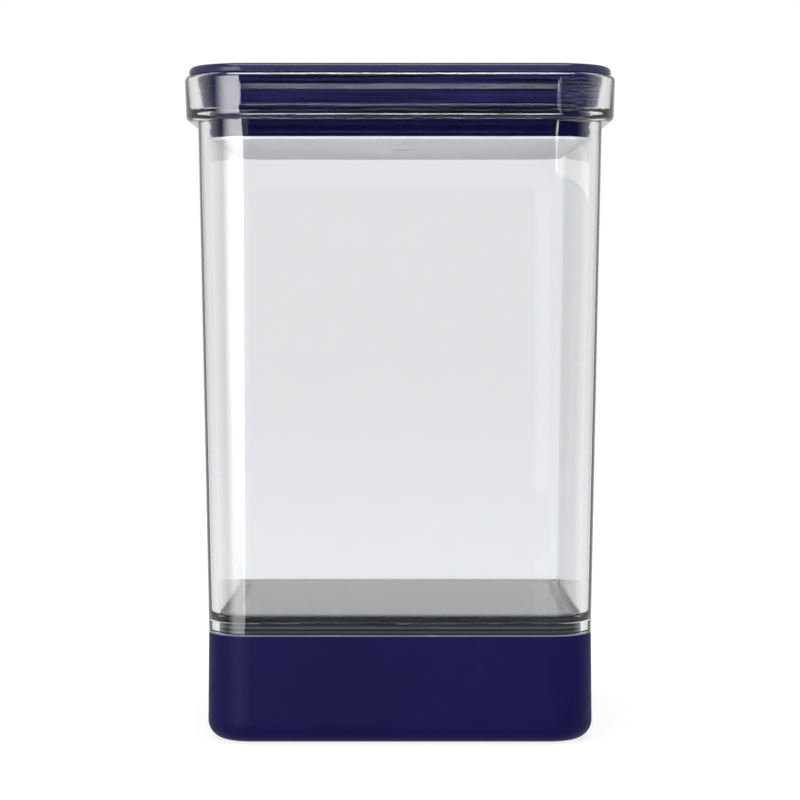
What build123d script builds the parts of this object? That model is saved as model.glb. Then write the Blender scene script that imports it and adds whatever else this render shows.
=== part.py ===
"""Airtight food storage container: a clear square canister in a soft boot, with a flip handle lid.

Millimetres, +Z up. The origin is the centre of the face that the boot stands on, and -Y is the front.
The lid is modelled closed: its handle lies flush, and the plate under it squeezes the seal ring.
"""

from build123d import *
import math
import os

os.makedirs("parts", exist_ok=True)

# Clear body
base_width = 93.2
body_corner = 10.5
body_draft = 1.05
wall = 2.4
floor_thickness = 3.6
floor_web = 2.4
floor_inner_round = 1.6
foot_round = 0.35
rim_bottom = 149.7
rim_height = 11.0
rim_overhang = 2.82
rim_draft = 1.9
rim_lower_round = 1.5
rim_upper_round = 1.1
rim_mouth_round = 0.6
rim_wall = 2.65
pocket_depth = 8.6
pocket_draft = 8.0
pocket_round = 1.0
mouth_round = 0.35

# Soft boot and the spigot that it grips
boot_height = 26.3
boot_draft = 0.65
boot_floor = 3.0
boot_lower_round = 4.6
boot_lip_round = 0.4
boot_recess_depth = 0.8
boot_recess_width = 72.0
boot_recess_corner = 6.0
tongue_height = 2.4
tongue_thickness = 1.7
tongue_fit = 0.15
tongue_round = 0.4
spigot_fit = 0.15
spigot_wall = 2.0
spigot_draft = 0.5
bead_height = 14.0
bead_width = 1.6
bead_depth = 0.6
bead_chamfer = 0.45

# Lid shells
plate_overlap = 1.6
plate_thickness = 2.2
plate_upper_round = 1.2
plate_lower_round = 0.4
skirt_clearance = 0.5
skirt_wall = 2.6
skirt_floor_gap = 0.4
skirt_lower_round = 1.0
collar_height = 2.7
collar_step = 0.2
collar_slope_height = 1.2
tray_thickness = 1.6
tray_clearance = 0.6
hollow_draft = 1.0
tray_rib_height = 1.4
rib_wall = 1.2
locating_rib_height = 1.9
rib_clearance = 0.2

# Seal ring and the plate under it
seal_height = 5.1
seal_clearance = 0.3
seal_round = 1.5
seal_section_width = 4.6
squeeze_plate_edge = 0.7
squeeze_plate_web = 1.6
squeeze_plate_clearance = 0.7
squeeze_plate_round = 0.3
squeeze_rib_height = 2.0
stiffener_height = 2.2
stiffener_count = 8
stiffener_gap = 1.0

# Flip handle, its cams and its pin
lever_length = 31.0
lever_width = 24.0
lever_thickness = 3.1
lever_tip_corner = 4.0
nose_round = 1.6
pin_below_top = 3.7
pin_radius = 1.25
pin_inset = 1.0
pin_running_clearance = 0.05
pin_eye_fit = 0.02
pin_chamfer = 0.2
cam_radius = 3.7
cam_offset = 0.8
cam_working_gap = 0.15
eye_radius = 2.6
eye_width = 8.0
slot_clearance = 0.3

# Handle well in the cover
well_wall = 1.8
well_side_gap = 0.4
well_lip_round = 0.4
well_back_corner = 1.2
land_gap = 0.5
scoop_length = 11.0
scoop_depth = 6.9
scoop_overlap = 9.0
scoop_corner = 3.2
scoop_round = 2.5
cam_plate_thickness = 0.8
cam_plate_fit = 0.1

# Stem, its seal and its screw
stem_radius = 2.5
stem_running_clearance = 0.05
stem_hole_clearance = 0.25
stroke_margin = 0.3
boss_radius = 6.2
boss_drop = 2.7
o_ring_cord = 1.45
o_ring_seat_depth = 2.5
o_ring_fit = 0.05
retainer_thickness = 0.8
spring_wire = 0.9
spring_turns = 2
spring_clearance = 0.4
spring_seat_gap = 0.1
socket_wall = 1.8
socket_height = 1.5
socket_fit = 0.1

# Screws
screw_radius = 1.4
screw_head_radius = 2.7
screw_head_height = 1.6
screw_length = 7.5
screw_inset = 11.0
screw_drive_radius = 1.1
screw_drive_depth = 0.9
screw_boss_wall = 2.0
screw_clearance = 0.2
screw_fit = 0.05
screw_tip_chamfer = 0.4
plate_screw_length = 7.0


def spread(height, draft):
    """How far a drafted wall leans outwards over a height."""
    return height * math.tan(math.radians(draft))


def drafted_block(width, corner, low, high, draft=0.0, mode=Mode.ADD):
    """Square block with round corners that widens upwards by its draft."""
    with BuildSketch(Plane.XY.offset(low)) as outline:
        RectangleRounded(width, width, corner)
    extrude(outline.sketch, amount=high - low, taper=-draft, mode=mode)


def square_ring(width, corner, thickness, low, high, mode=Mode.ADD):
    """Upright wall of even thickness round a square with round corners."""
    with BuildSketch(Plane.XY.offset(low)) as outline:
        RectangleRounded(width, width, corner)
        offset(amount=-thickness, kind=Kind.ARC, mode=Mode.SUBTRACT)
    extrude(outline.sketch, amount=high - low, mode=mode)


def flat_face(part, height):
    """The flat face of a part at a height."""
    return part.faces().filter_by(Axis.Z).filter_by_position(Axis.Z, height - 0.01, height + 0.01)[0]


# Heights of the body
floor_top = boot_height + floor_thickness
rim_top = rim_bottom + rim_height
ledge = rim_top - pocket_depth

# Widths of the body, each with the corner radius that its draft gives it
body_top_width = base_width + 2 * spread(rim_bottom - boot_height, body_draft)
body_top_corner = body_corner + spread(rim_bottom - boot_height, body_draft)
rim_low_width = body_top_width + 2 * rim_overhang
rim_low_corner = body_top_corner + rim_overhang
rim_top_width = rim_low_width + 2 * spread(rim_height, rim_draft)
rim_top_corner = rim_low_corner + spread(rim_height, rim_draft)
cavity_low_width = base_width + 2 * spread(floor_thickness, body_draft) - 2 * wall
cavity_low_corner = body_corner + spread(floor_thickness, body_draft) - wall
mouth_width = cavity_low_width + 2 * spread(ledge - floor_top, body_draft)
mouth_corner = cavity_low_corner + spread(ledge - floor_top, body_draft)
pocket_top_width = rim_top_width - 2 * rim_wall
pocket_low_width = pocket_top_width - 2 * spread(pocket_depth, pocket_draft)
pocket_low_corner = rim_top_corner - rim_wall - spread(pocket_depth, pocket_draft)

# Groove behind the foot of the clear wall, and the spigot inside it
groove_width = base_width - 2 * wall
groove_corner = body_corner - wall
groove_gap = tongue_fit + tongue_thickness + spigot_fit
groove_top = boot_height + tongue_height + tongue_fit
spigot_top_width = groove_width - 2 * groove_gap
spigot_top_corner = groove_corner - groove_gap
spigot_length = boot_height - boot_floor
spigot_low_width = spigot_top_width - 2 * spread(spigot_length, spigot_draft)
spigot_low_corner = spigot_top_corner - spread(spigot_length, spigot_draft)
spigot_bead_width = spigot_low_width + 2 * spread(bead_height - boot_floor, spigot_draft) + 2 * bead_depth
spigot_bead_corner = spigot_low_corner + bead_depth

# Boot round the spigot
boot_low_width = base_width + 2 * spread(boot_height, boot_draft)
boot_low_corner = body_corner + spread(boot_height, boot_draft)

# Heights of the lid
lid_top = rim_top + plate_thickness
skirt_bottom = ledge + skirt_floor_gap
tray_bottom = skirt_bottom - tray_thickness
seal_bottom = tray_bottom - seal_height
squeeze_plate_bottom = seal_bottom - squeeze_plate_edge
squeeze_plate_top = squeeze_plate_bottom + squeeze_plate_web

# Widths of the lid
plate_width = rim_top_width - 2 * rim_wall + 2 * plate_overlap
plate_corner = rim_top_corner - rim_wall + plate_overlap
skirt_low_width = pocket_low_width + 2 * spread(skirt_floor_gap, pocket_draft) - 2 * skirt_clearance
skirt_low_corner = pocket_low_corner + spread(skirt_floor_gap, pocket_draft) - skirt_clearance
collar_bottom = rim_top - collar_height
slope_bottom = collar_bottom - collar_slope_height
slope_draft = math.degrees(math.atan(math.tan(math.radians(pocket_draft)) + collar_step / collar_slope_height))
slope_lean = spread(slope_bottom - skirt_bottom, pocket_draft)
collar_lean = slope_lean + spread(collar_slope_height, slope_draft)
hollow_width = skirt_low_width - 2 * skirt_wall
hollow_corner = skirt_low_corner - skirt_wall
seal_plane_width = mouth_width - 2 * spread(ledge - seal_bottom, body_draft)
seal_plane_corner = mouth_corner - spread(ledge - seal_bottom, body_draft)
tray_width = seal_plane_width - 2 * tray_clearance
tray_corner = seal_plane_corner - tray_clearance
seal_width = seal_plane_width - 2 * seal_clearance
seal_corner = seal_plane_corner - seal_clearance
seal_bore_width = seal_width - 2 * seal_section_width
seal_bore_corner = seal_corner - seal_section_width
seal_rib_width = seal_bore_width - 2 * rib_clearance
seal_rib_corner = seal_bore_corner - rib_clearance
squeeze_plate_width = seal_plane_width - 2 * squeeze_plate_clearance
squeeze_plate_corner = seal_plane_corner - squeeze_plate_clearance

# Handle and cam
pin_height = lid_top - pin_below_top
cam_reach_closed = cam_radius + cam_offset
cam_reach_open = cam_radius - cam_offset
stroke = cam_reach_closed - cam_reach_open
cam_plate_top = pin_height - cam_reach_closed - cam_working_gap
cam_floor = cam_plate_top - cam_plate_thickness
lever_underside = lid_top - lever_thickness
slot_roof = eye_radius + slot_clearance
well_width = lever_width + 2 * well_side_gap
well_back = pin_below_top + 2 * well_side_gap
scoop_front = -(lever_length + scoop_length)
scoop_back = -(lever_length - scoop_overlap)
scoop_floor = lid_top - scoop_depth
land_height = lever_underside - land_gap
cam_pocket_front = -(cam_radius + cam_offset + 2 * well_side_gap)
well_floor_wall = cam_floor - skirt_bottom
well_parts = [
    (cam_pocket_front, well_back, cam_floor),
    (scoop_back, well_back, land_height),
    (scoop_front, scoop_back, scoop_floor),
]
hinge_plane = Plane(origin=(0, 0, pin_height), x_dir=(0, 1, 0), z_dir=(1, 0, 0))
lever_low = pin_below_top - lever_thickness
slot_end = cam_radius + cam_offset + 2 * slot_clearance

# Stem
stem_bore = stem_radius + stem_running_clearance
stem_hole_radius = stem_radius + stem_hole_clearance
neck_bottom = cam_plate_top + stroke + stroke_margin
boss_bottom = tray_bottom - boss_drop
o_ring_seat_radius = stem_bore + o_ring_cord + o_ring_fit
o_ring_height = boss_bottom + retainer_thickness + o_ring_fit + o_ring_cord / 2
stem_bottom = squeeze_plate_top
stiffener_start = boss_radius + spring_clearance + spring_wire + stiffener_gap
stiffener_end = seal_rib_width / 2 - rib_wall / 2

screw_place = tray_width / 2 - screw_inset
screw_boss_radius = screw_radius + screw_boss_wall
screw_hole_depth = screw_length - tray_thickness + 0.6
countersink_depth = screw_head_radius - screw_radius

with BuildPart() as container_body:
    # Drafted walls up to the rim, then the flared rim
    drafted_block(base_width, body_corner, boot_height, rim_bottom, body_draft)
    fillet(flat_face(container_body, boot_height).edges(), foot_round)
    drafted_block(rim_low_width, rim_low_corner, rim_bottom, rim_top, rim_draft)
    fillet(flat_face(container_body, rim_bottom).outer_wire().edges(), rim_lower_round)
    # Food space, and the pocket in the rim that takes the lid's skirt
    drafted_block(cavity_low_width, cavity_low_corner, floor_top, ledge, body_draft, Mode.SUBTRACT)
    fillet(flat_face(container_body, floor_top).outer_wire().edges(), floor_inner_round)
    drafted_block(pocket_low_width, pocket_low_corner, ledge, rim_top, pocket_draft, Mode.SUBTRACT)
    fillet(flat_face(container_body, ledge).outer_wire().edges(), pocket_round)
    fillet(flat_face(container_body, ledge).inner_wires()[0].edges(), mouth_round)
    fillet(flat_face(container_body, rim_top).outer_wire().edges(), rim_upper_round)
    fillet(flat_face(container_body, rim_top).inner_wires()[0].edges(), rim_mouth_round)
    # Hollow spigot under the floor slab, with the bead that holds the boot
    drafted_block(spigot_low_width, spigot_low_corner, boot_floor, boot_height, spigot_draft)
    with BuildSketch(Plane.XY.offset(bead_height)):
        RectangleRounded(spigot_bead_width, spigot_bead_width, spigot_bead_corner)
    extrude(amount=bead_width)
    bead_faces = container_body.faces().filter_by(Axis.Z)
    bead_faces = bead_faces.filter_by_position(Axis.Z, bead_height - 0.01, bead_height + bead_width + 0.01)
    chamfer([edge for face in bead_faces for edge in face.outer_wire().edges()], bead_chamfer)
    drafted_block(spigot_low_width - 2 * spigot_wall, spigot_low_corner - spigot_wall,
                  boot_floor, floor_top - floor_web, spigot_draft, Mode.SUBTRACT)
    # Groove for the boot's tongue, between the foot of the wall and the spigot
    square_ring(groove_width, groove_corner, groove_gap, boot_height, groove_top, Mode.SUBTRACT)
container_body.part.label = "container_body"
export_step(container_body.part, "parts/container_body.step")

with BuildPart() as silicone_boot:
    drafted_block(boot_low_width, boot_low_corner, 0, boot_height, -boot_draft)
    fillet(flat_face(silicone_boot, 0).edges(), boot_lower_round)
    # Seat for the spigot, and the groove that its bead snaps into
    drafted_block(spigot_low_width + 2 * spigot_fit, spigot_low_corner + spigot_fit,
                  boot_floor, boot_height, spigot_draft, Mode.SUBTRACT)
    drafted_block(spigot_bead_width + 2 * spigot_fit, spigot_bead_corner + spigot_fit,
                  bead_height - spigot_fit, bead_height + bead_width + spigot_fit, mode=Mode.SUBTRACT)
    fillet(flat_face(silicone_boot, boot_height).outer_wire().edges(), boot_lip_round)
    # Tongue that stands in the groove, behind the foot of the clear wall
    square_ring(groove_width - 2 * tongue_fit, groove_corner - tongue_fit, tongue_thickness,
                boot_height, boot_height + tongue_height)
    fillet(flat_face(silicone_boot, boot_height + tongue_height).outer_wire().edges(), tongue_round)
    # Shallow recess underneath, so that the boot stands on its border
    drafted_block(boot_recess_width, boot_recess_corner, 0, boot_recess_depth, mode=Mode.SUBTRACT)
silicone_boot.part.label = "silicone_boot"
export_step(silicone_boot.part, "parts/silicone_boot.step")

with BuildPart() as lid_cover:
    # Flat plate that lies on the rim
    drafted_block(plate_width, plate_corner, rim_top, lid_top)
    fillet(flat_face(lid_cover, lid_top).outer_wire().edges(), plate_upper_round)
    fillet(flat_face(lid_cover, rim_top).outer_wire().edges(), plate_lower_round)
    # Skirt that stands in the rim's pocket, hollow from below
    drafted_block(skirt_low_width, skirt_low_corner, skirt_bottom, rim_top, pocket_draft)
    fillet(flat_face(lid_cover, skirt_bottom).outer_wire().edges(), skirt_lower_round)
    # Collar at the top of the skirt, which centres the lid in the pocket
    drafted_block(skirt_low_width + 2 * slope_lean, skirt_low_corner + slope_lean,
                  slope_bottom, collar_bottom, slope_draft)
    drafted_block(skirt_low_width + 2 * collar_lean, skirt_low_corner + collar_lean,
                  collar_bottom, rim_top, pocket_draft)
    drafted_block(hollow_width, hollow_corner, skirt_bottom, rim_top, -hollow_draft, Mode.SUBTRACT)
    # Walls of the handle's well, then the well itself: cam pocket, land under the lever, finger scoop
    for front, back, bottom in well_parts:
        with BuildSketch(Plane.XY.offset(bottom - well_floor_wall)):
            with Locations((0, (front + back) / 2)):
                Rectangle(well_width + 2 * well_wall, back - front + 2 * well_wall)
        extrude(amount=rim_top - bottom + well_floor_wall)
    for front, back, bottom in well_parts:
        with BuildSketch(Plane.XY.offset(bottom)):
            with Locations((0, (front + back) / 2)):
                Rectangle(well_width, back - front)
        extrude(amount=lid_top - bottom, mode=Mode.SUBTRACT)
    # Round the well's corners in plan, the scoop's floor towards the finger, and the lip of the well
    upright = lid_cover.edges().filter_by(Axis.Z)
    fillet(upright.filter_by_position(Axis.Y, scoop_front - 0.01, scoop_front + 0.01), scoop_corner)
    fillet(upright.filter_by_position(Axis.Y, well_back - 0.01, well_back + 0.01), well_back_corner)
    scoop_edges = flat_face(lid_cover, scoop_floor).outer_wire().edges()
    fillet(scoop_edges.sort_by(Axis.Y)[:-1], scoop_round)
    fillet(flat_face(lid_cover, lid_top).inner_wires()[0].edges(), well_lip_round)
    # Hole for the stem, and bosses with pilot holes for the screws
    with BuildSketch(Plane.XY.offset(skirt_bottom)):
        Circle(stem_hole_radius)
    extrude(amount=lid_top - skirt_bottom, mode=Mode.SUBTRACT)
    with BuildSketch(Plane.XY.offset(skirt_bottom)):
        with GridLocations(2 * screw_place, 2 * screw_place, 2, 2):
            Circle(screw_boss_radius)
    extrude(amount=rim_top - skirt_bottom)
    with BuildSketch(Plane.XY.offset(skirt_bottom)):
        with GridLocations(2 * screw_place, 2 * screw_place, 2, 2):
            Circle(screw_radius + screw_fit)
    extrude(amount=screw_hole_depth, mode=Mode.SUBTRACT)
lid_cover.part.label = "lid_cover"
export_step(lid_cover.part, "parts/lid_cover.step")

with BuildPart() as cam_plate:
    with BuildSketch(Plane.XY.offset(cam_floor)):
        with Locations((0, (cam_pocket_front + well_back) / 2)):
            RectangleRounded(well_width - 2 * cam_plate_fit,
                             well_back - cam_pocket_front - 2 * cam_plate_fit, well_back_corner)
        Circle(stem_hole_radius, mode=Mode.SUBTRACT)
    extrude(amount=cam_plate_thickness)
cam_plate.part.label = "cam_plate"
export_step(cam_plate.part, "parts/cam_plate.step")

with BuildPart() as lid_tray:
    drafted_block(tray_width, tray_corner, tray_bottom, skirt_bottom)
    # Rib that centres the tray in the skirt, and rib that holds the seal ring
    square_ring(hollow_width - 2 * rib_clearance, hollow_corner - rib_clearance, rib_wall,
                skirt_bottom, skirt_bottom + tray_rib_height)
    square_ring(seal_rib_width, seal_rib_corner, rib_wall, tray_bottom - locating_rib_height, tray_bottom)
    # Boss round the stem, its bore, and the seat of the O-ring
    with BuildSketch(Plane.XY.offset(boss_bottom)):
        Circle(boss_radius)
    extrude(amount=boss_drop)
    with BuildSketch(Plane.XY.offset(boss_bottom)):
        Circle(stem_bore)
    extrude(amount=skirt_bottom - boss_bottom, mode=Mode.SUBTRACT)
    with BuildSketch(Plane.XY.offset(boss_bottom)):
        Circle(o_ring_seat_radius)
    extrude(amount=o_ring_seat_depth, mode=Mode.SUBTRACT)
    # Holes for the screws
    with BuildSketch(Plane.XY.offset(tray_bottom)):
        with GridLocations(2 * screw_place, 2 * screw_place, 2, 2):
            Circle(screw_radius + screw_clearance)
    extrude(amount=tray_thickness, mode=Mode.SUBTRACT)
lid_tray.part.label = "lid_tray"
export_step(lid_tray.part, "parts/lid_tray.step")

with BuildPart() as tray_screws:
    with BuildSketch(Plane.XY.offset(tray_bottom - screw_head_height)):
        with GridLocations(2 * screw_place, 2 * screw_place, 2, 2):
            Circle(screw_head_radius)
    extrude(amount=screw_head_height)
    with BuildSketch(Plane.XY.offset(tray_bottom)):
        with GridLocations(2 * screw_place, 2 * screw_place, 2, 2):
            Circle(screw_radius)
    extrude(amount=screw_length)
    chamfer(tray_screws.edges().group_by(Axis.Z)[-1], screw_tip_chamfer)
    with BuildSketch(Plane.XY.offset(tray_bottom - screw_head_height)):
        with GridLocations(2 * screw_place, 2 * screw_place, 2, 2):
            RegularPolygon(screw_drive_radius, 6)
    extrude(amount=screw_drive_depth, mode=Mode.SUBTRACT)
tray_screws.part.label = "tray_screws"
export_step(tray_screws.part, "parts/tray_screws.step")

with BuildPart() as stem_o_ring:
    with BuildSketch(Plane.XZ):
        with Locations((stem_bore + o_ring_cord / 2, o_ring_height)):
            Circle(o_ring_cord / 2)
    revolve(axis=Axis.Z)
stem_o_ring.part.label = "stem_o_ring"
export_step(stem_o_ring.part, "parts/stem_o_ring.step")

with BuildPart() as seal_retainer:
    with BuildSketch(Plane.XY.offset(boss_bottom)):
        Circle(o_ring_seat_radius - o_ring_fit)
        Circle(stem_hole_radius, mode=Mode.SUBTRACT)
    extrude(amount=retainer_thickness)
seal_retainer.part.label = "seal_retainer"
export_step(seal_retainer.part, "parts/seal_retainer.step")

with BuildPart() as seal_ring:
    square_ring(seal_width, seal_corner, seal_section_width, seal_bottom, tray_bottom)
    # Rounded outer edges, so that the ring bulges against the wall
    for level in (seal_bottom, tray_bottom):
        fillet(flat_face(seal_ring, level).outer_wire().edges(), seal_round)
seal_ring.part.label = "seal_ring"
export_step(seal_ring.part, "parts/seal_ring.step")

with BuildPart() as pressure_plate:
    drafted_block(squeeze_plate_width, squeeze_plate_corner, squeeze_plate_bottom, seal_bottom)
    fillet(flat_face(pressure_plate, squeeze_plate_bottom).edges(), squeeze_plate_round)
    # Thicker web inside the seal, and the rib that holds the seal ring
    drafted_block(seal_rib_width, seal_rib_corner, seal_bottom, squeeze_plate_top)
    square_ring(seal_rib_width, seal_rib_corner, rib_wall, squeeze_plate_top, seal_bottom + squeeze_rib_height)
    # Stiffeners from the spring's seat to the rib
    with BuildSketch(Plane.XY.offset(squeeze_plate_top)):
        with PolarLocations(0, stiffener_count):
            with Locations(((stiffener_start + stiffener_end) / 2, 0)):
                Rectangle(stiffener_end - stiffener_start, rib_wall)
    extrude(amount=stiffener_height)
    # Socket for the stem's foot, and the countersunk screw hole
    with BuildSketch(Plane.XY.offset(squeeze_plate_top)):
        Circle(stem_radius + socket_fit + socket_wall)
        Circle(stem_radius + socket_fit, mode=Mode.SUBTRACT)
    extrude(amount=socket_height)
    with BuildSketch(Plane.XZ):
        with BuildLine():
            Polyline((0, squeeze_plate_bottom),
                     (screw_head_radius + screw_clearance, squeeze_plate_bottom),
                     (screw_radius + screw_clearance, squeeze_plate_bottom + countersink_depth),
                     (screw_radius + screw_clearance, squeeze_plate_top),
                     (0, squeeze_plate_top), close=True)
        make_face()
    revolve(axis=Axis.Z, mode=Mode.SUBTRACT)
pressure_plate.part.label = "pressure_plate"
export_step(pressure_plate.part, "parts/pressure_plate.step")

with BuildPart() as plate_screw:
    with BuildSketch(Plane.XZ):
        with BuildLine():
            Polyline((0, squeeze_plate_bottom),
                     (screw_head_radius, squeeze_plate_bottom),
                     (screw_radius, squeeze_plate_bottom + countersink_depth),
                     (screw_radius, squeeze_plate_bottom + plate_screw_length),
                     (0, squeeze_plate_bottom + plate_screw_length), close=True)
        make_face()
    revolve(axis=Axis.Z)
    with BuildSketch(Plane.XY.offset(squeeze_plate_bottom)):
        RegularPolygon(screw_drive_radius, 6)
    extrude(amount=screw_drive_depth, mode=Mode.SUBTRACT)
plate_screw.part.label = "plate_screw"
export_step(plate_screw.part, "parts/plate_screw.step")

with BuildPart() as lift_stem:
    with BuildSketch(Plane.XY.offset(stem_bottom)):
        Circle(stem_radius)
    extrude(amount=neck_bottom - stem_bottom)
    # Flat neck and eye that stand in the handle's slot
    with BuildSketch(Plane.XY.offset(neck_bottom)):
        Rectangle(eye_width, 2 * stem_radius)
    extrude(amount=pin_height - neck_bottom)
    with BuildSketch(hinge_plane):
        Circle(eye_radius)
    extrude(amount=eye_width / 2, both=True)
    with BuildSketch(hinge_plane):
        Circle(pin_radius + pin_eye_fit)
    extrude(amount=eye_width, both=True, mode=Mode.SUBTRACT)
    # Pilot hole for the plate's screw
    with BuildSketch(Plane.XY.offset(stem_bottom)):
        Circle(screw_radius + screw_fit)
    extrude(amount=plate_screw_length, mode=Mode.SUBTRACT)
lift_stem.part.label = "lift_stem"
export_step(lift_stem.part, "parts/lift_stem.step")

with BuildPart() as handle_pin:
    with BuildSketch(hinge_plane):
        Circle(pin_radius)
    extrude(amount=lever_width / 2 - pin_inset, both=True)
    chamfer(handle_pin.edges(), pin_chamfer)
handle_pin.part.label = "handle_pin"
export_step(handle_pin.part, "parts/handle_pin.step")

with BuildPart() as flip_handle:
    # Side profile, seen from the right: lever, cam block and cam
    with BuildSketch(hinge_plane):
        with BuildLine():
            Polyline((-lever_length, lever_low), (-lever_length, pin_below_top), (cam_reach_open, pin_below_top),
                     (cam_reach_open, -cam_offset), (-cam_offset, -cam_offset), (-cam_offset, lever_low),
                     close=True)
        make_face()
        with Locations((-cam_offset, -cam_offset)):
            Circle(cam_radius)
    extrude(amount=lever_width / 2, both=True)
    nose = flip_handle.edges().filter_by(Axis.X).group_by(Axis.Z)[-1].sort_by(Axis.Y)[-1]
    fillet(nose, nose_round)
    # Round the lever's tip in plan, then its upper edges
    tip = flip_handle.edges().filter_by(Axis.Z).group_by(Axis.Y)[0]
    fillet(tip, lever_tip_corner)
    # Slot for the stem's eye, and the bore for the pin
    with BuildSketch(hinge_plane):
        with Locations(((slot_end - slot_roof) / 2, (slot_roof - slot_end) / 2)):
            Rectangle(slot_end + slot_roof, slot_end + slot_roof)
    extrude(amount=eye_width / 2 + slot_clearance, both=True, mode=Mode.SUBTRACT)
    with BuildSketch(hinge_plane):
        Circle(pin_radius + pin_running_clearance)
    extrude(amount=lever_width, both=True, mode=Mode.SUBTRACT)
flip_handle.part.label = "flip_handle"
export_step(flip_handle.part, "parts/flip_handle.step")

# Spring path: quarter turns that climb steadily from the plate to the tray
spring_radius = boss_radius + spring_clearance + spring_wire / 2
spring_low = squeeze_plate_top + spring_wire / 2 + spring_seat_gap
spring_high = tray_bottom - spring_wire / 2 - spring_seat_gap
spring_eighths = 8 * spring_turns


def spring_point(eighth):
    """Point on the spring's centre line, an eighth of a turn at a time."""
    angle = math.radians(45 * eighth)
    climb = (spring_high - spring_low) * eighth / spring_eighths
    return (spring_radius * math.cos(angle), spring_radius * math.sin(angle), spring_low + climb)


with BuildPart() as return_spring:
    with BuildLine() as spring_path:
        for start in range(0, spring_eighths, 2):
            ThreePointArc(spring_point(start), spring_point(start + 1), spring_point(start + 2))
    with BuildSketch(Plane(origin=spring_point(0), x_dir=(1, 0, 0),
                           z_dir=spring_path.edges().sort_by(Axis.Z)[0] % 0)):
        Rectangle(spring_wire, spring_wire)
    sweep()
return_spring.part.label = "return_spring"
export_step(return_spring.part, "parts/return_spring.step")
print("spring: least gap between turns", round((spring_high - spring_low) / spring_turns - spring_wire, 2))
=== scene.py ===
"""Looks of the airtight food storage container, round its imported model. Metres, +Z up, -Y is the front."""

import math

import bmesh
import bpy
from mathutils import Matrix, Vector


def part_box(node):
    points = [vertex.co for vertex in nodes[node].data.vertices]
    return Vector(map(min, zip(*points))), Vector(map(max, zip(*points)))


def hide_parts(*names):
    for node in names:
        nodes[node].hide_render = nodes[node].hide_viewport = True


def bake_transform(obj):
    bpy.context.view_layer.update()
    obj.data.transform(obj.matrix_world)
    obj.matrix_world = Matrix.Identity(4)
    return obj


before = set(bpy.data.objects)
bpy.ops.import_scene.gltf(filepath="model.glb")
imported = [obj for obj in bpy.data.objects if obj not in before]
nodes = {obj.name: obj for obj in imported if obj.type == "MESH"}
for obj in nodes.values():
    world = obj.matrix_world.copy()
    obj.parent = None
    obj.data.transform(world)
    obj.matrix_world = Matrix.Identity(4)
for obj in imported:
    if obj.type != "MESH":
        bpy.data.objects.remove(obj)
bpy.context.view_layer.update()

# Colours, linear. The boot's lip edge has a painted highlight, its tongue bands of dark painted shade and
# light painted highlight, and the lid plate's edge a painted highlight colour
NAVY_LID = (0.0110, 0.0108, 0.0600)
# Painted highlight colour for the lid plate's upright edge above the rim
NAVY_EDGE_HIGHLIGHT = (0.0430, 0.0420, 0.1180)
NAVY_BOOT = (0.0088, 0.0082, 0.0750)
NAVY_SEAL = (0.0006, 0.0004, 0.0370)
# Painted highlight colour for the boot's lip edge
LIP_HIGHLIGHT = (0.2400, 0.2500, 0.3100)
# Painted shade and painted highlight colours for the tongue's bands
TONGUE_SHADE = (0.0040, 0.0050, 0.0060)
TONGUE_HIGHLIGHT = (0.1700, 0.1840, 0.1950)
CLEAR_TINT = (0.925, 0.934, 0.945)
CLEAR_SHADOW = (0.90, 0.91, 0.92)
FROSTED = (0.90, 0.90, 0.91)
WHITE_PLASTIC = (0.78, 0.78, 0.76)
STEEL = (0.56, 0.57, 0.58)
SPRING_STEEL = (0.42, 0.43, 0.45)

# Refractive indices
CLEAR_IOR = 1.49
LID_IOR = 1.5
SILICONE_IOR = 1.41
MOULDED_IOR = 1.49

# Camera: level with the upper half of the body, looking a little down
CAMERA_DISTANCE = 0.648
CAMERA_HEIGHT = 0.108
CAMERA_PITCH = 2.388
CAMERA_LENS = 113.27
SENSOR_WIDTH = 36.0

# Studio. The white surroundings are 1 where they are seen, AMBIENT for matt surfaces, and in a mirror
# image MIRRORED, to the front and to the back; it changes where a direction's Y is in DARK_SIDE
AMBIENT = 0.62
MIRRORED = (0.05, 0.80)
DARK_SIDE = (-0.35, 0.0)

# Floor: its colour, which fades out over two radii, and its light on what stands on it
FLOOR_GREY = 0.34
FLOOR_NEAR = (0.5, 4.0)
FLOOR_BOUNCE = 0.58
FLOOR_RADIUS = 12.0

# Share of its strength that a highlight with a rise has at its lower edge
RISE_START = 0.33

# Where the clear body's rim starts, and over which height its level lines and the lid's painted edge
# highlight come up
RIM_BOTTOM = 0.1497
RIM_BLEND = 0.0005
LID_HIGHLIGHT_BLEND = 0.0003

# The boot's tongue, which stands above its lip behind the clear wall's foot, where its bands of painted shade
# and
# # painted highlight change, and how far below the lip's top the lip's painted highlight starts and is full
TONGUE_HEIGHT = 0.0024
TONGUE_STOPS = (0.25, 0.45, 0.65)
LIP_HIGHLIGHT_BELOW = (0.00035, 0.00015)
LIP_TOLERANCE = 0.00002

# Seal ring and spring, as the lid's tray and the plate under it leave room for
SEAL_CORNER = 0.0100
SEAL_SECTION = 0.0046
SEAL_LIP_ROUND = 0.0015
SEAL_WAIST = 0.0003
SEAL_WAIST_HALF = 0.0004
SEAL_WAIST_EDGE = 0.7
SPRING_RADIUS = 0.00705
SPRING_WIRE = 0.0009
SPRING_TURNS = 2.5
SPRING_FLAT_SHARE = 0.12
SPRING_STEPS = 160
SPRING_SIDES = 14
SPRING_SEAT_GAP = 0.0001
PLATE_WEB = 0.0016


def make_camera():
    """Camera at the photograph's angle, a long lens square to the front."""
    data = bpy.data.cameras.new("camera")
    data.lens = CAMERA_LENS
    data.sensor_width = SENSOR_WIDTH
    camera = bpy.data.objects.new("camera", data)
    camera.location = (0, -CAMERA_DISTANCE, CAMERA_HEIGHT)
    camera.rotation_euler = (math.radians(90 - CAMERA_PITCH), 0, 0)
    bpy.context.scene.collection.objects.link(camera)
    bpy.context.scene.camera = camera


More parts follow.
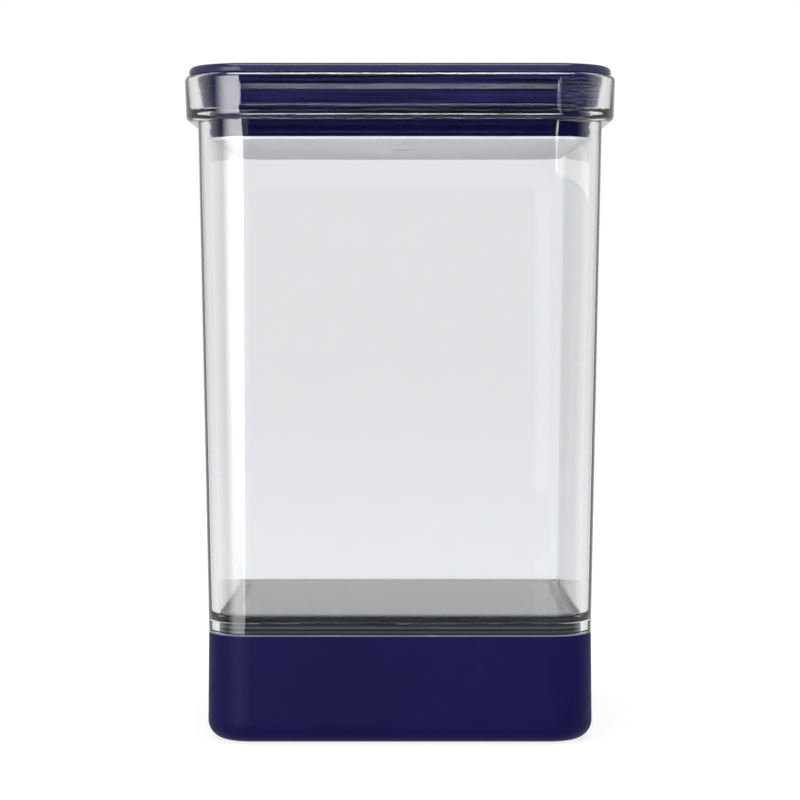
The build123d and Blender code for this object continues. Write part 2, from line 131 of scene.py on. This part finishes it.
def maths(tree, operation, first, second=None):
    """A Math node's result from one or two sockets or numbers."""
    node = tree.nodes.new("ShaderNodeMath")
    node.operation = operation
    for socket, value in zip(node.inputs, (first, second)):
        if isinstance(value, (int, float)):
            socket.default_value = value
        elif value is not None:
            tree.links.new(value, socket)
    return node.outputs["Value"]


def component(tree, vector, axis):
    """The X, Y or Z of a vector socket."""
    node = tree.nodes.new("ShaderNodeSeparateXYZ")
    tree.links.new(vector, node.inputs["Vector"])
    return node.outputs[axis]


class Shader:
    """A material's node tree, with short ways to add nodes and links."""

    def __init__(self, name):
        self.material = bpy.data.materials.new(name)
        self.material.use_nodes = True
        self.tree = self.material.node_tree
        self.tree.nodes.clear()
        self.output = self.add("ShaderNodeOutputMaterial")
        self.surface = self.add("ShaderNodeBsdfPrincipled")
        self.link(self.surface.outputs["BSDF"], self.output.inputs["Surface"])
        self.place = self.add("ShaderNodeTexCoord").outputs["Object"]

    def add(self, kind, **settings):
        node = self.tree.nodes.new(kind)
        for name, value in settings.items():
            setattr(node, name, value)
        return node

    def link(self, start, end):
        self.tree.links.new(start, end)

    def set(self, **values):
        """Plain values on the surface's own sockets."""
        for name, value in values.items():
            socket = self.surface.inputs[name.replace("_", " ")]
            socket.default_value = (*value, 1) if isinstance(value, tuple) and len(value) == 3 else value

    def noise(self, scale, detail=3.0, stretch=(1, 1, 1), roughness=0.5):
        """Noise in the object's own coordinates, stretched along its axes."""
        mapping = self.add("ShaderNodeMapping")
        mapping.inputs["Scale"].default_value = stretch
        self.link(self.place, mapping.inputs["Vector"])
        noise = self.add("ShaderNodeTexNoise")
        noise.inputs["Scale"].default_value = scale
        noise.inputs["Detail"].default_value = detail
        noise.inputs["Roughness"].default_value = roughness
        self.link(mapping.outputs["Vector"], noise.inputs["Vector"])
        return noise.outputs["Fac"]

    def spread(self, source, low, high, from_low=0.3, from_high=0.7):
        """source mapped on to a range of values."""
        node = self.add("ShaderNodeMapRange")
        node.inputs["From Min"].default_value = from_low
        node.inputs["From Max"].default_value = from_high
        node.inputs["To Min"].default_value = low
        node.inputs["To Max"].default_value = high
        self.link(source, node.inputs["Value"])
        return node.outputs["Result"]

    def colours(self, source, first, second):
        """A colour between two, by source. Each of the two is plain or a socket."""
        node = self.add("ShaderNodeMix", data_type="RGBA")
        for socket, colour in (("A", first), ("B", second)):
            if isinstance(colour, tuple):
                node.inputs[socket].default_value = (*colour, 1)
            else:
                self.link(colour, node.inputs[socket])
        self.link(source, node.inputs["Factor"])
        return node.outputs["Result"]

    def bump(self, height, depth, before=None):
        """A bump of a depth in metres, on top of another one."""
        node = self.add("ShaderNodeBump")
        node.inputs["Distance"].default_value = depth
        self.link(height, node.inputs["Height"])
        if before is not None:
            self.link(before, node.inputs["Normal"])
        self.link(node.outputs["Normal"], self.surface.inputs["Normal"])
        return node.outputs["Normal"]


def shade(colour, factor):
    """A colour made lighter or darker."""
    return tuple(min(1.0, c * factor) for c in colour)


def clear_plastic():
    """Polished clear plastic that lets light into its shadow, with fine handling marks and faint ripples
    from the mould: broad ones, upright draw lines, and level ones round the rim."""
    s = Shader("clear_plastic")
    s.set(Base_Color=CLEAR_TINT, IOR=CLEAR_IOR, Transmission_Weight=1.0, Specular_IOR_Level=0.16)
    handling = s.noise(180, detail=5, stretch=(1, 1, 0.35))
    s.link(s.spread(handling, 0.004, 0.03, 0.45, 0.8), s.surface.inputs["Roughness"])
    ripple = s.bump(s.noise(28, detail=1, stretch=(1, 1, 0.4)), 0.00003)
    ripple = s.bump(s.noise(260, detail=3, stretch=(1, 1, 0.015)), 0.000006, ripple)
    height = component(s.tree, s.place, "Z")
    in_rim = s.spread(height, 0, 1, RIM_BOTTOM - RIM_BLEND, RIM_BOTTOM + RIM_BLEND)
    lines = maths(s.tree, "MULTIPLY", s.noise(12, detail=4, stretch=(1, 1, 70), roughness=0.65), in_rim)
    ripple = s.bump(lines, 0.000035, ripple)
    s.bump(s.noise(900, detail=2), 0.0000004, ripple)
    clear = s.add("ShaderNodeBsdfTransparent")
    clear.inputs["Color"].default_value = (*CLEAR_SHADOW, 1)
    path = s.add("ShaderNodeLightPath")
    mix = s.add("ShaderNodeMixShader")
    s.link(path.outputs["Is Shadow Ray"], mix.inputs["Fac"])
    s.link(s.surface.outputs["BSDF"], mix.inputs[1])
    s.link(clear.outputs["BSDF"], mix.inputs[2])
    s.link(mix.outputs["Shader"], s.output.inputs["Surface"])
    return s.material


def lid_plastic():
    """Satin navy moulded plastic with a fine spark texture, drag lines from the mould round its sides, bumped
    and with painted reflection streaks of darker and lighter navy, and a painted highlight on the edge where
    the plate stands clear of the rim."""
    s = Shader("lid_plastic")
    drag_and_reflection_streaks = s.noise(20, detail=4, stretch=(1, 1, 100), roughness=0.6)
    normal = s.add("ShaderNodeTexCoord").outputs["Normal"]
    flat = maths(s.tree, "ABSOLUTE", component(s.tree, normal, "Z"))
    upright = s.spread(flat, 1, 0, 0.2, 0.7)
    rim_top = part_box("container_body")[1].z
    # Painted highlight: the lid plate's upright edge above the rim's top gets a lighter navy
    above = s.spread(component(s.tree, s.place, "Z"), 0, 1, rim_top, rim_top + LID_HIGHLIGHT_BLEND)
    # Painted reflection streaks: the drag lines, real as bumps, also swing the colour between darker and
    # lighter navy
    lines = s.colours(s.spread(drag_and_reflection_streaks, 0, 1, 0.36, 0.64), shade(NAVY_LID, 0.05), shade(NAVY_LID, 1.9))
    painted_highlight = s.colours(above, lines, NAVY_EDGE_HIGHLIGHT)
    s.link(s.colours(upright, NAVY_LID, painted_highlight), s.surface.inputs["Base Color"])
    s.link(s.spread(s.noise(240, detail=4), 0.085, 0.125), s.surface.inputs["Roughness"])
    drag = s.bump(drag_and_reflection_streaks, 0.000006)
    s.bump(s.noise(5200, detail=2), 0.000003, drag)
    s.set(IOR=LID_IOR, Specular_IOR_Level=0.12)
    return s.material


def silicone(s, colour, gloss, low, high):
    """Soft satin silicone with a fine grain, a little patchy, and a low gloss. Returns its colour."""
    patches = s.noise(22, detail=4)
    s.link(s.spread(s.noise(300, detail=5), low, high), s.surface.inputs["Roughness"])
    broad = s.bump(s.noise(16, detail=1), 0.00012)
    s.bump(s.noise(3800, detail=3), 0.000010, broad)
    s.set(IOR=SILICONE_IOR, Specular_IOR_Level=gloss)
    return s.colours(s.spread(patches, 0, 1), shade(colour, 0.93), shade(colour, 1.1))


def seal_silicone():
    """Deep navy silicone of the rings."""
    s = Shader("seal_silicone")
    s.link(silicone(s, NAVY_SEAL, 0.05, 0.22, 0.32), s.surface.inputs["Base Color"])
    return s.material


def boot_silicone():
    """Navy silicone with a painted highlight along the lip's edge, and bands of dark grey painted shade and
    lighter painted highlight on the tongue that stands behind the clear wall's foot."""
    s = Shader("boot_silicone")
    navy = silicone(s, NAVY_BOOT, 0.07, 0.38, 0.50)
    height = component(s.tree, s.place, "Z")
    tongue_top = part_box("silicone_boot")[1].z
    lip = tongue_top - TONGUE_HEIGHT
    # Painted highlight: a pale line along the top of the boot's lip
    painted_highlight = s.spread(height, 0, 1, lip - LIP_HIGHLIGHT_BELOW[0], lip - LIP_HIGHLIGHT_BELOW[1])
    navy = s.colours(painted_highlight, navy, LIP_HIGHLIGHT)
    # Painted shade with painted highlight bands on the tongue above the lip, by height
    level = s.spread(height, 0, 1, lip, tongue_top)
    ramp = s.add("ShaderNodeValToRGB")
    stops = ramp.color_ramp.elements
    stops[1].position = 1.0
    for place in TONGUE_STOPS:
        stops.new(place)
    for i, stop in enumerate(stops):
        stop.color = (*(TONGUE_SHADE if i % 2 == 0 else TONGUE_HIGHLIGHT), 1)
    s.link(level, ramp.inputs["Fac"])
    above = maths(s.tree, "GREATER_THAN", height, lip + LIP_TOLERANCE)
    s.link(s.colours(above, navy, ramp.outputs["Color"]), s.surface.inputs["Base Color"])
    return s.material


def moulded(name, colour, low, high):
    """Plain moulded plastic with a fine texture."""
    s = Shader(name)
    s.link(s.colours(s.spread(s.noise(40), 0, 1), shade(colour, 0.96), shade(colour, 1.03)),
           s.surface.inputs["Base Color"])
    s.link(s.spread(s.noise(260, detail=4), low, high), s.surface.inputs["Roughness"])
    s.bump(s.noise(3000, detail=2), 0.000008)
    s.set(IOR=MOULDED_IOR)
    return s.material


def metal(name, colour, low, high):
    """Drawn or turned stainless steel with fine lines round it."""
    s = Shader(name)
    s.set(Metallic=1.0)
    s.link(s.colours(s.spread(s.noise(90), 0, 1), shade(colour, 0.9), shade(colour, 1.1)),
           s.surface.inputs["Base Color"])
    s.link(s.spread(s.noise(500, detail=5, stretch=(1, 1, 14)), low, high), s.surface.inputs["Roughness"])
    s.bump(s.noise(1400, detail=4, stretch=(1, 1, 20)), 0.000006)
    return s.material


def dress(material, *names):
    """Gives CAD nodes a material in place of their plain one."""
    for name in names:
        mesh = nodes[name].data
        mesh.materials.clear()
        mesh.materials.append(material)


def new_piece(name, bm, material):
    """A smooth mesh object from a bmesh, with its material in its one slot."""
    bmesh.ops.recalc_face_normals(bm, faces=bm.faces)
    mesh = bpy.data.meshes.new(name)
    bm.to_mesh(mesh)
    bm.free()
    mesh.shade_smooth()
    mesh.materials.append(material)
    piece = bpy.data.objects.new(name, mesh)
    bpy.context.scene.collection.objects.link(piece)
    return piece


def join_loops(bm, loops, closed):
    """Quads between loops of vertices, and from the last loop to the first where closed."""
    pairs = list(zip(loops, loops[1:])) + ([(loops[-1], loops[0])] if closed else [])
    for first, second in pairs:
        for i in range(len(first)):
            j = (i + 1) % len(first)
            bm.faces.new((first[i], first[j], second[j], second[i]))


def rounded_square(half, corner, steps=14):
    """Points round a square with round corners."""
    points = []
    for turn in range(4):
        sx, sy = ((1, 1), (-1, 1), (-1, -1), (1, -1))[turn]
        for i in range(steps + 1):
            angle = math.radians(90 * (turn + i / steps))
            points.append((sx * (half - corner) + corner * math.cos(angle),
                           sy * (half - corner) + corner * math.sin(angle)))
    return points


def arc(centre_x, centre_y, radius, start, end, steps=6):
    """Points on an arc between two angles in degrees."""
    angles = [math.radians(start + (end - start) * i / steps) for i in range(steps + 1)]
    return [(centre_x + radius * math.cos(a), centre_y + radius * math.sin(a)) for a in angles]


def make_seal(material):
    """Seal ring: two soft lips with a shallow waist between them, which stretches as the plate drops; it is
    built here in one fixed shape.
    """
    low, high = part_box("seal_ring")
    half, bottom, top = high.x, low.z, high.z
    r = SEAL_LIP_ROUND
    middle = (bottom + top) / 2
    outline = [(SEAL_SECTION, bottom)]
    outline += arc(r, bottom + r, r, 270, 180)
    outline += [(SEAL_WAIST * SEAL_WAIST_EDGE, middle - SEAL_WAIST_HALF), (SEAL_WAIST, middle),
                (SEAL_WAIST * SEAL_WAIST_EDGE, middle + SEAL_WAIST_HALF)]
    outline += arc(r, top - r, r, 180, 90)
    outline += [(SEAL_SECTION, top)]
    bm = bmesh.new()
    loops = []
    for inset, z in outline:
        points = rounded_square(half - inset, SEAL_CORNER - inset)
        loops.append([bm.verts.new((x, y, z)) for x, y in points])
    join_loops(bm, loops, closed=True)
    seal = new_piece("seal_ring_lips", bm, material)
    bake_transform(seal)
    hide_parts("seal_ring")


def make_spring(material, tray_bottom, plate_top):
    """Round wire coil with its ends laid flat, which lengthens as the plate drops; it is built here in one
    fixed shape between the tray and the plate.
    """
    wire = SPRING_WIRE / 2
    low = plate_top + SPRING_SEAT_GAP + wire
    high = tray_bottom - SPRING_SEAT_GAP - wire
    bm = bmesh.new()
    loops = []
    for i in range(SPRING_STEPS + 1):
        share = i / SPRING_STEPS
        climb = min(1.0, max(0.0, (share - SPRING_FLAT_SHARE) / (1 - 2 * SPRING_FLAT_SHARE)))
        climb = climb * climb * (3 - 2 * climb)
        angle = 2 * math.pi * SPRING_TURNS * share
        ring = []
        for k in range(SPRING_SIDES):
            turn = 2 * math.pi * k / SPRING_SIDES
            radius = SPRING_RADIUS + wire * math.cos(turn)
            ring.append(bm.verts.new((radius * math.cos(angle), radius * math.sin(angle),
                                      low + (high - low) * climb + wire * math.sin(turn))))
        loops.append(ring)
    join_loops(bm, loops, closed=False)
    bm.faces.new(loops[0])
    bm.faces.new(loops[-1])
    spring = new_piece("return_spring_coil", bm, material)
    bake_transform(spring)
    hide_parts("return_spring")


def seen_and_level(tree, way):
    """Whether a ray sees the surroundings as a picture, and how bright they are along its way.

    They are 1 straight and through the clear walls. Where a surface mirrors them they are dim on the
    dark side of the studio, towards the front, and come up round the back."""
    path = tree.nodes.new("ShaderNodeLightPath").outputs
    seen = maths(tree, "MAXIMUM", path["Is Camera Ray"], path["Is Glossy Ray"])
    seen = maths(tree, "MAXIMUM", seen, path["Is Transmission Ray"])
    behind = tree.nodes.new("ShaderNodeMapRange")
    behind.inputs["From Min"].default_value = DARK_SIDE[0]
    behind.inputs["From Max"].default_value = DARK_SIDE[1]
    behind.inputs["To Min"].default_value = MIRRORED[0]
    behind.inputs["To Max"].default_value = MIRRORED[1]
    tree.links.new(component(tree, way, "Y"), behind.inputs["Value"])
    straight = maths(tree, "LESS_THAN", path["Glossy Depth"], 0.5)
    return seen, maths(tree, "MAXIMUM", straight, behind.outputs["Result"])


def make_floor():
    """Pale floor that reads as white and keeps the object's soft shadow."""
    bm = bmesh.new()
    bmesh.ops.create_circle(bm, cap_ends=True, segments=96, radius=FLOOR_RADIUS)
    mesh = bpy.data.meshes.new("floor")
    bm.to_mesh(mesh)
    bm.free()
    floor = bpy.data.objects.new("floor", mesh)
    bpy.context.scene.collection.objects.link(floor)
    floor.visible_glossy = False
    s = Shader("floor")
    s.tree.nodes.remove(s.surface)
    way = s.add("ShaderNodeVectorMath", operation="NORMALIZE")
    s.link(s.place, way.inputs[0])
    seen, level = seen_and_level(s.tree, way.outputs["Vector"])
    matt = s.add("ShaderNodeBsdfDiffuse")
    glow = s.add("ShaderNodeEmission")
    both = s.add("ShaderNodeAddShader")
    radius = s.add("ShaderNodeVectorMath", operation="LENGTH")
    s.link(s.place, radius.inputs[0])
    grey = s.spread(radius.outputs["Value"], FLOOR_GREY, 0, *FLOOR_NEAR)
    picture = maths(s.tree, "SUBTRACT", 1, maths(s.tree, "MULTIPLY", grey, AMBIENT))
    strength = s.add("ShaderNodeMix")
    strength.inputs["A"].default_value = FLOOR_BOUNCE
    s.link(seen, strength.inputs["Factor"])
    s.link(maths(s.tree, "MULTIPLY", level, picture), strength.inputs["B"])
    s.link(maths(s.tree, "MULTIPLY", level, grey), matt.inputs["Color"])
    s.link(strength.outputs["Result"], glow.inputs["Strength"])
    s.link(matt.outputs["BSDF"], both.inputs[0])
    s.link(glow.outputs["Emission"], both.inputs[1])
    s.link(both.outputs["Shader"], s.output.inputs["Surface"])
    mesh.materials.append(s.material)


def make_world():
    """White surroundings for the camera and through the clear walls, and a soft grey light on all else."""
    world = bpy.data.worlds.new("studio")
    bpy.context.scene.world = world
    world.use_nodes = True
    tree = world.node_tree
    tree.nodes.clear()
    background = tree.nodes.new("ShaderNodeBackground")
    output = tree.nodes.new("ShaderNodeOutputWorld")
    strength = tree.nodes.new("ShaderNodeMix")
    seen, level = seen_and_level(tree, tree.nodes.new("ShaderNodeTexCoord").outputs["Generated"])
    strength.inputs["A"].default_value = AMBIENT
    tree.links.new(seen, strength.inputs["Factor"])
    tree.links.new(level, strength.inputs["B"])
    tree.links.new(strength.outputs["Result"], background.inputs["Strength"])
    background.inputs["Color"].default_value = (1, 1, 1, 1)
    tree.links.new(background.outputs["Background"], output.inputs["Surface"])


def softbox(name, azimuth, distance, height, width, tall, radiance, aim=0.08):
    """Area lamp at an azimuth from the front, positive to the right, facing a height on the object's axis."""
    angle = math.radians(azimuth)
    place = Vector((distance * math.sin(angle), -distance * math.cos(angle), height))
    data = bpy.data.lights.new(name, "AREA")
    data.shape = "RECTANGLE"
    data.size = width
    data.size_y = tall
    data.energy = radiance * math.pi * width * tall
    lamp = bpy.data.objects.new(name, data)
    lamp.location = place
    lamp.rotation_euler = (Vector((0, 0, aim)) - place).to_track_quat("-Z", "Y").to_euler()
    lamp.visible_camera = False
    bpy.context.scene.collection.objects.link(lamp)
    return lamp


def shine(name, azimuth, distance, height, width, tall, radiance, aim=0.08, spread=180, inside=False,
          fade=None, rise=None):
    """Softbox that only shows as a highlight.

    It shows on the outer surfaces, or with inside on what stands behind a clear wall too. spread is the
    angle of its beam in degrees, which has the radiance on its axis. fade is the range of its width over
    which it comes up from nothing, and rise the range of its height over which it comes up from
    RISE_START, both as shares."""
    lamp = softbox(name, azimuth, distance, height, width, tall, radiance, aim)
    lamp.visible_diffuse = False
    if spread < 180:
        half = math.radians(spread / 2)
        lamp.data.spread = 2 * half
        lamp.data.energy *= 1 - half / math.tan(half)
    lamp.data.use_nodes = True
    tree = lamp.data.node_tree
    path = tree.nodes.new("ShaderNodeLightPath").outputs
    depth = maths(tree, "SUBTRACT", path["Transmission Depth"], path["Glossy Depth"])
    strength = maths(tree, "LESS_THAN", path["Transmission Depth"] if inside else depth, 0.5)
    if inside:
        strength = maths(tree, "MAXIMUM", strength, maths(tree, "GREATER_THAN", depth, 1.5))
    for axis, share, start in (("X", fade, 0), ("Y", rise, RISE_START)):
        if share:
            place = tree.nodes.new("ShaderNodeNewGeometry").outputs["Parametric"]
            ramp = tree.nodes.new("ShaderNodeMapRange")
            ramp.interpolation_type = "SMOOTHSTEP"
            ramp.inputs["From Min"].default_value = share[0]
            ramp.inputs["From Max"].default_value = share[1]
            ramp.inputs["To Min"].default_value = start
            tree.links.new(component(tree, place, axis), ramp.inputs["Value"])
            strength = maths(tree, "MULTIPLY", strength, ramp.outputs["Result"])
    tree.links.new(strength, tree.nodes["Emission"].inputs["Strength"])
    return lamp


def make_lights():
    """Broad soft light from the left and overhead, and the softboxes that show as highlights.

    Each has its azimuth, distance, height, width, height of its face and radiance."""
    key = softbox("key_left", -40, 1.1, 0.25, 1.2, 1.2, 0.9)
    key.visible_glossy = False
    softbox("overhead", 0, 0.1, 1.2, 1.0, 1.0, 1.4)
    shine("shine_left", -46, 1.1, 0.20, 1.17, 0.90, 12.5, aim=0.20, fade=(0.18, 0.66), rise=(0.0, 0.39))
    shine("shine_right", 17.5, 1.1, 0.165, 0.04, 0.04, 9)
    shine("fill_right", 56, 1.1, 0.162, 1.75, 0.026, 2.4)
    shine("shine_top", 0, 0.25, 0.95, 0.8, 0.5, 14)
    shine("shine_below", 0, 0.21, 0.042, 0.6, 0.07, 20, aim=0.192, spread=44, inside=True)


make_camera()
make_world()
make_lights()
make_floor()
bpy.context.scene.view_settings.view_transform = "Standard"

ring_silicone = seal_silicone()
dress(clear_plastic(), "container_body")
dress(lid_plastic(), "lid_cover", "lid_tray", "flip_handle")
dress(boot_silicone(), "silicone_boot")
dress(ring_silicone, "stem_o_ring")
dress(moulded("frosted_plastic", FROSTED, 0.35, 0.5), "pressure_plate")
dress(moulded("white_plastic", WHITE_PLASTIC, 0.25, 0.35), "lift_stem", "seal_retainer")
dress(metal("steel", STEEL, 0.18, 0.32), "tray_screws", "cam_plate", "handle_pin", "plate_screw")

seal_low, seal_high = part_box("seal_ring")
plate_low, plate_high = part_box("pressure_plate")
make_seal(ring_silicone)
make_spring(metal("spring_steel", SPRING_STEEL, 0.22, 0.36), seal_high.z, plate_low.z + PLATE_WEB)
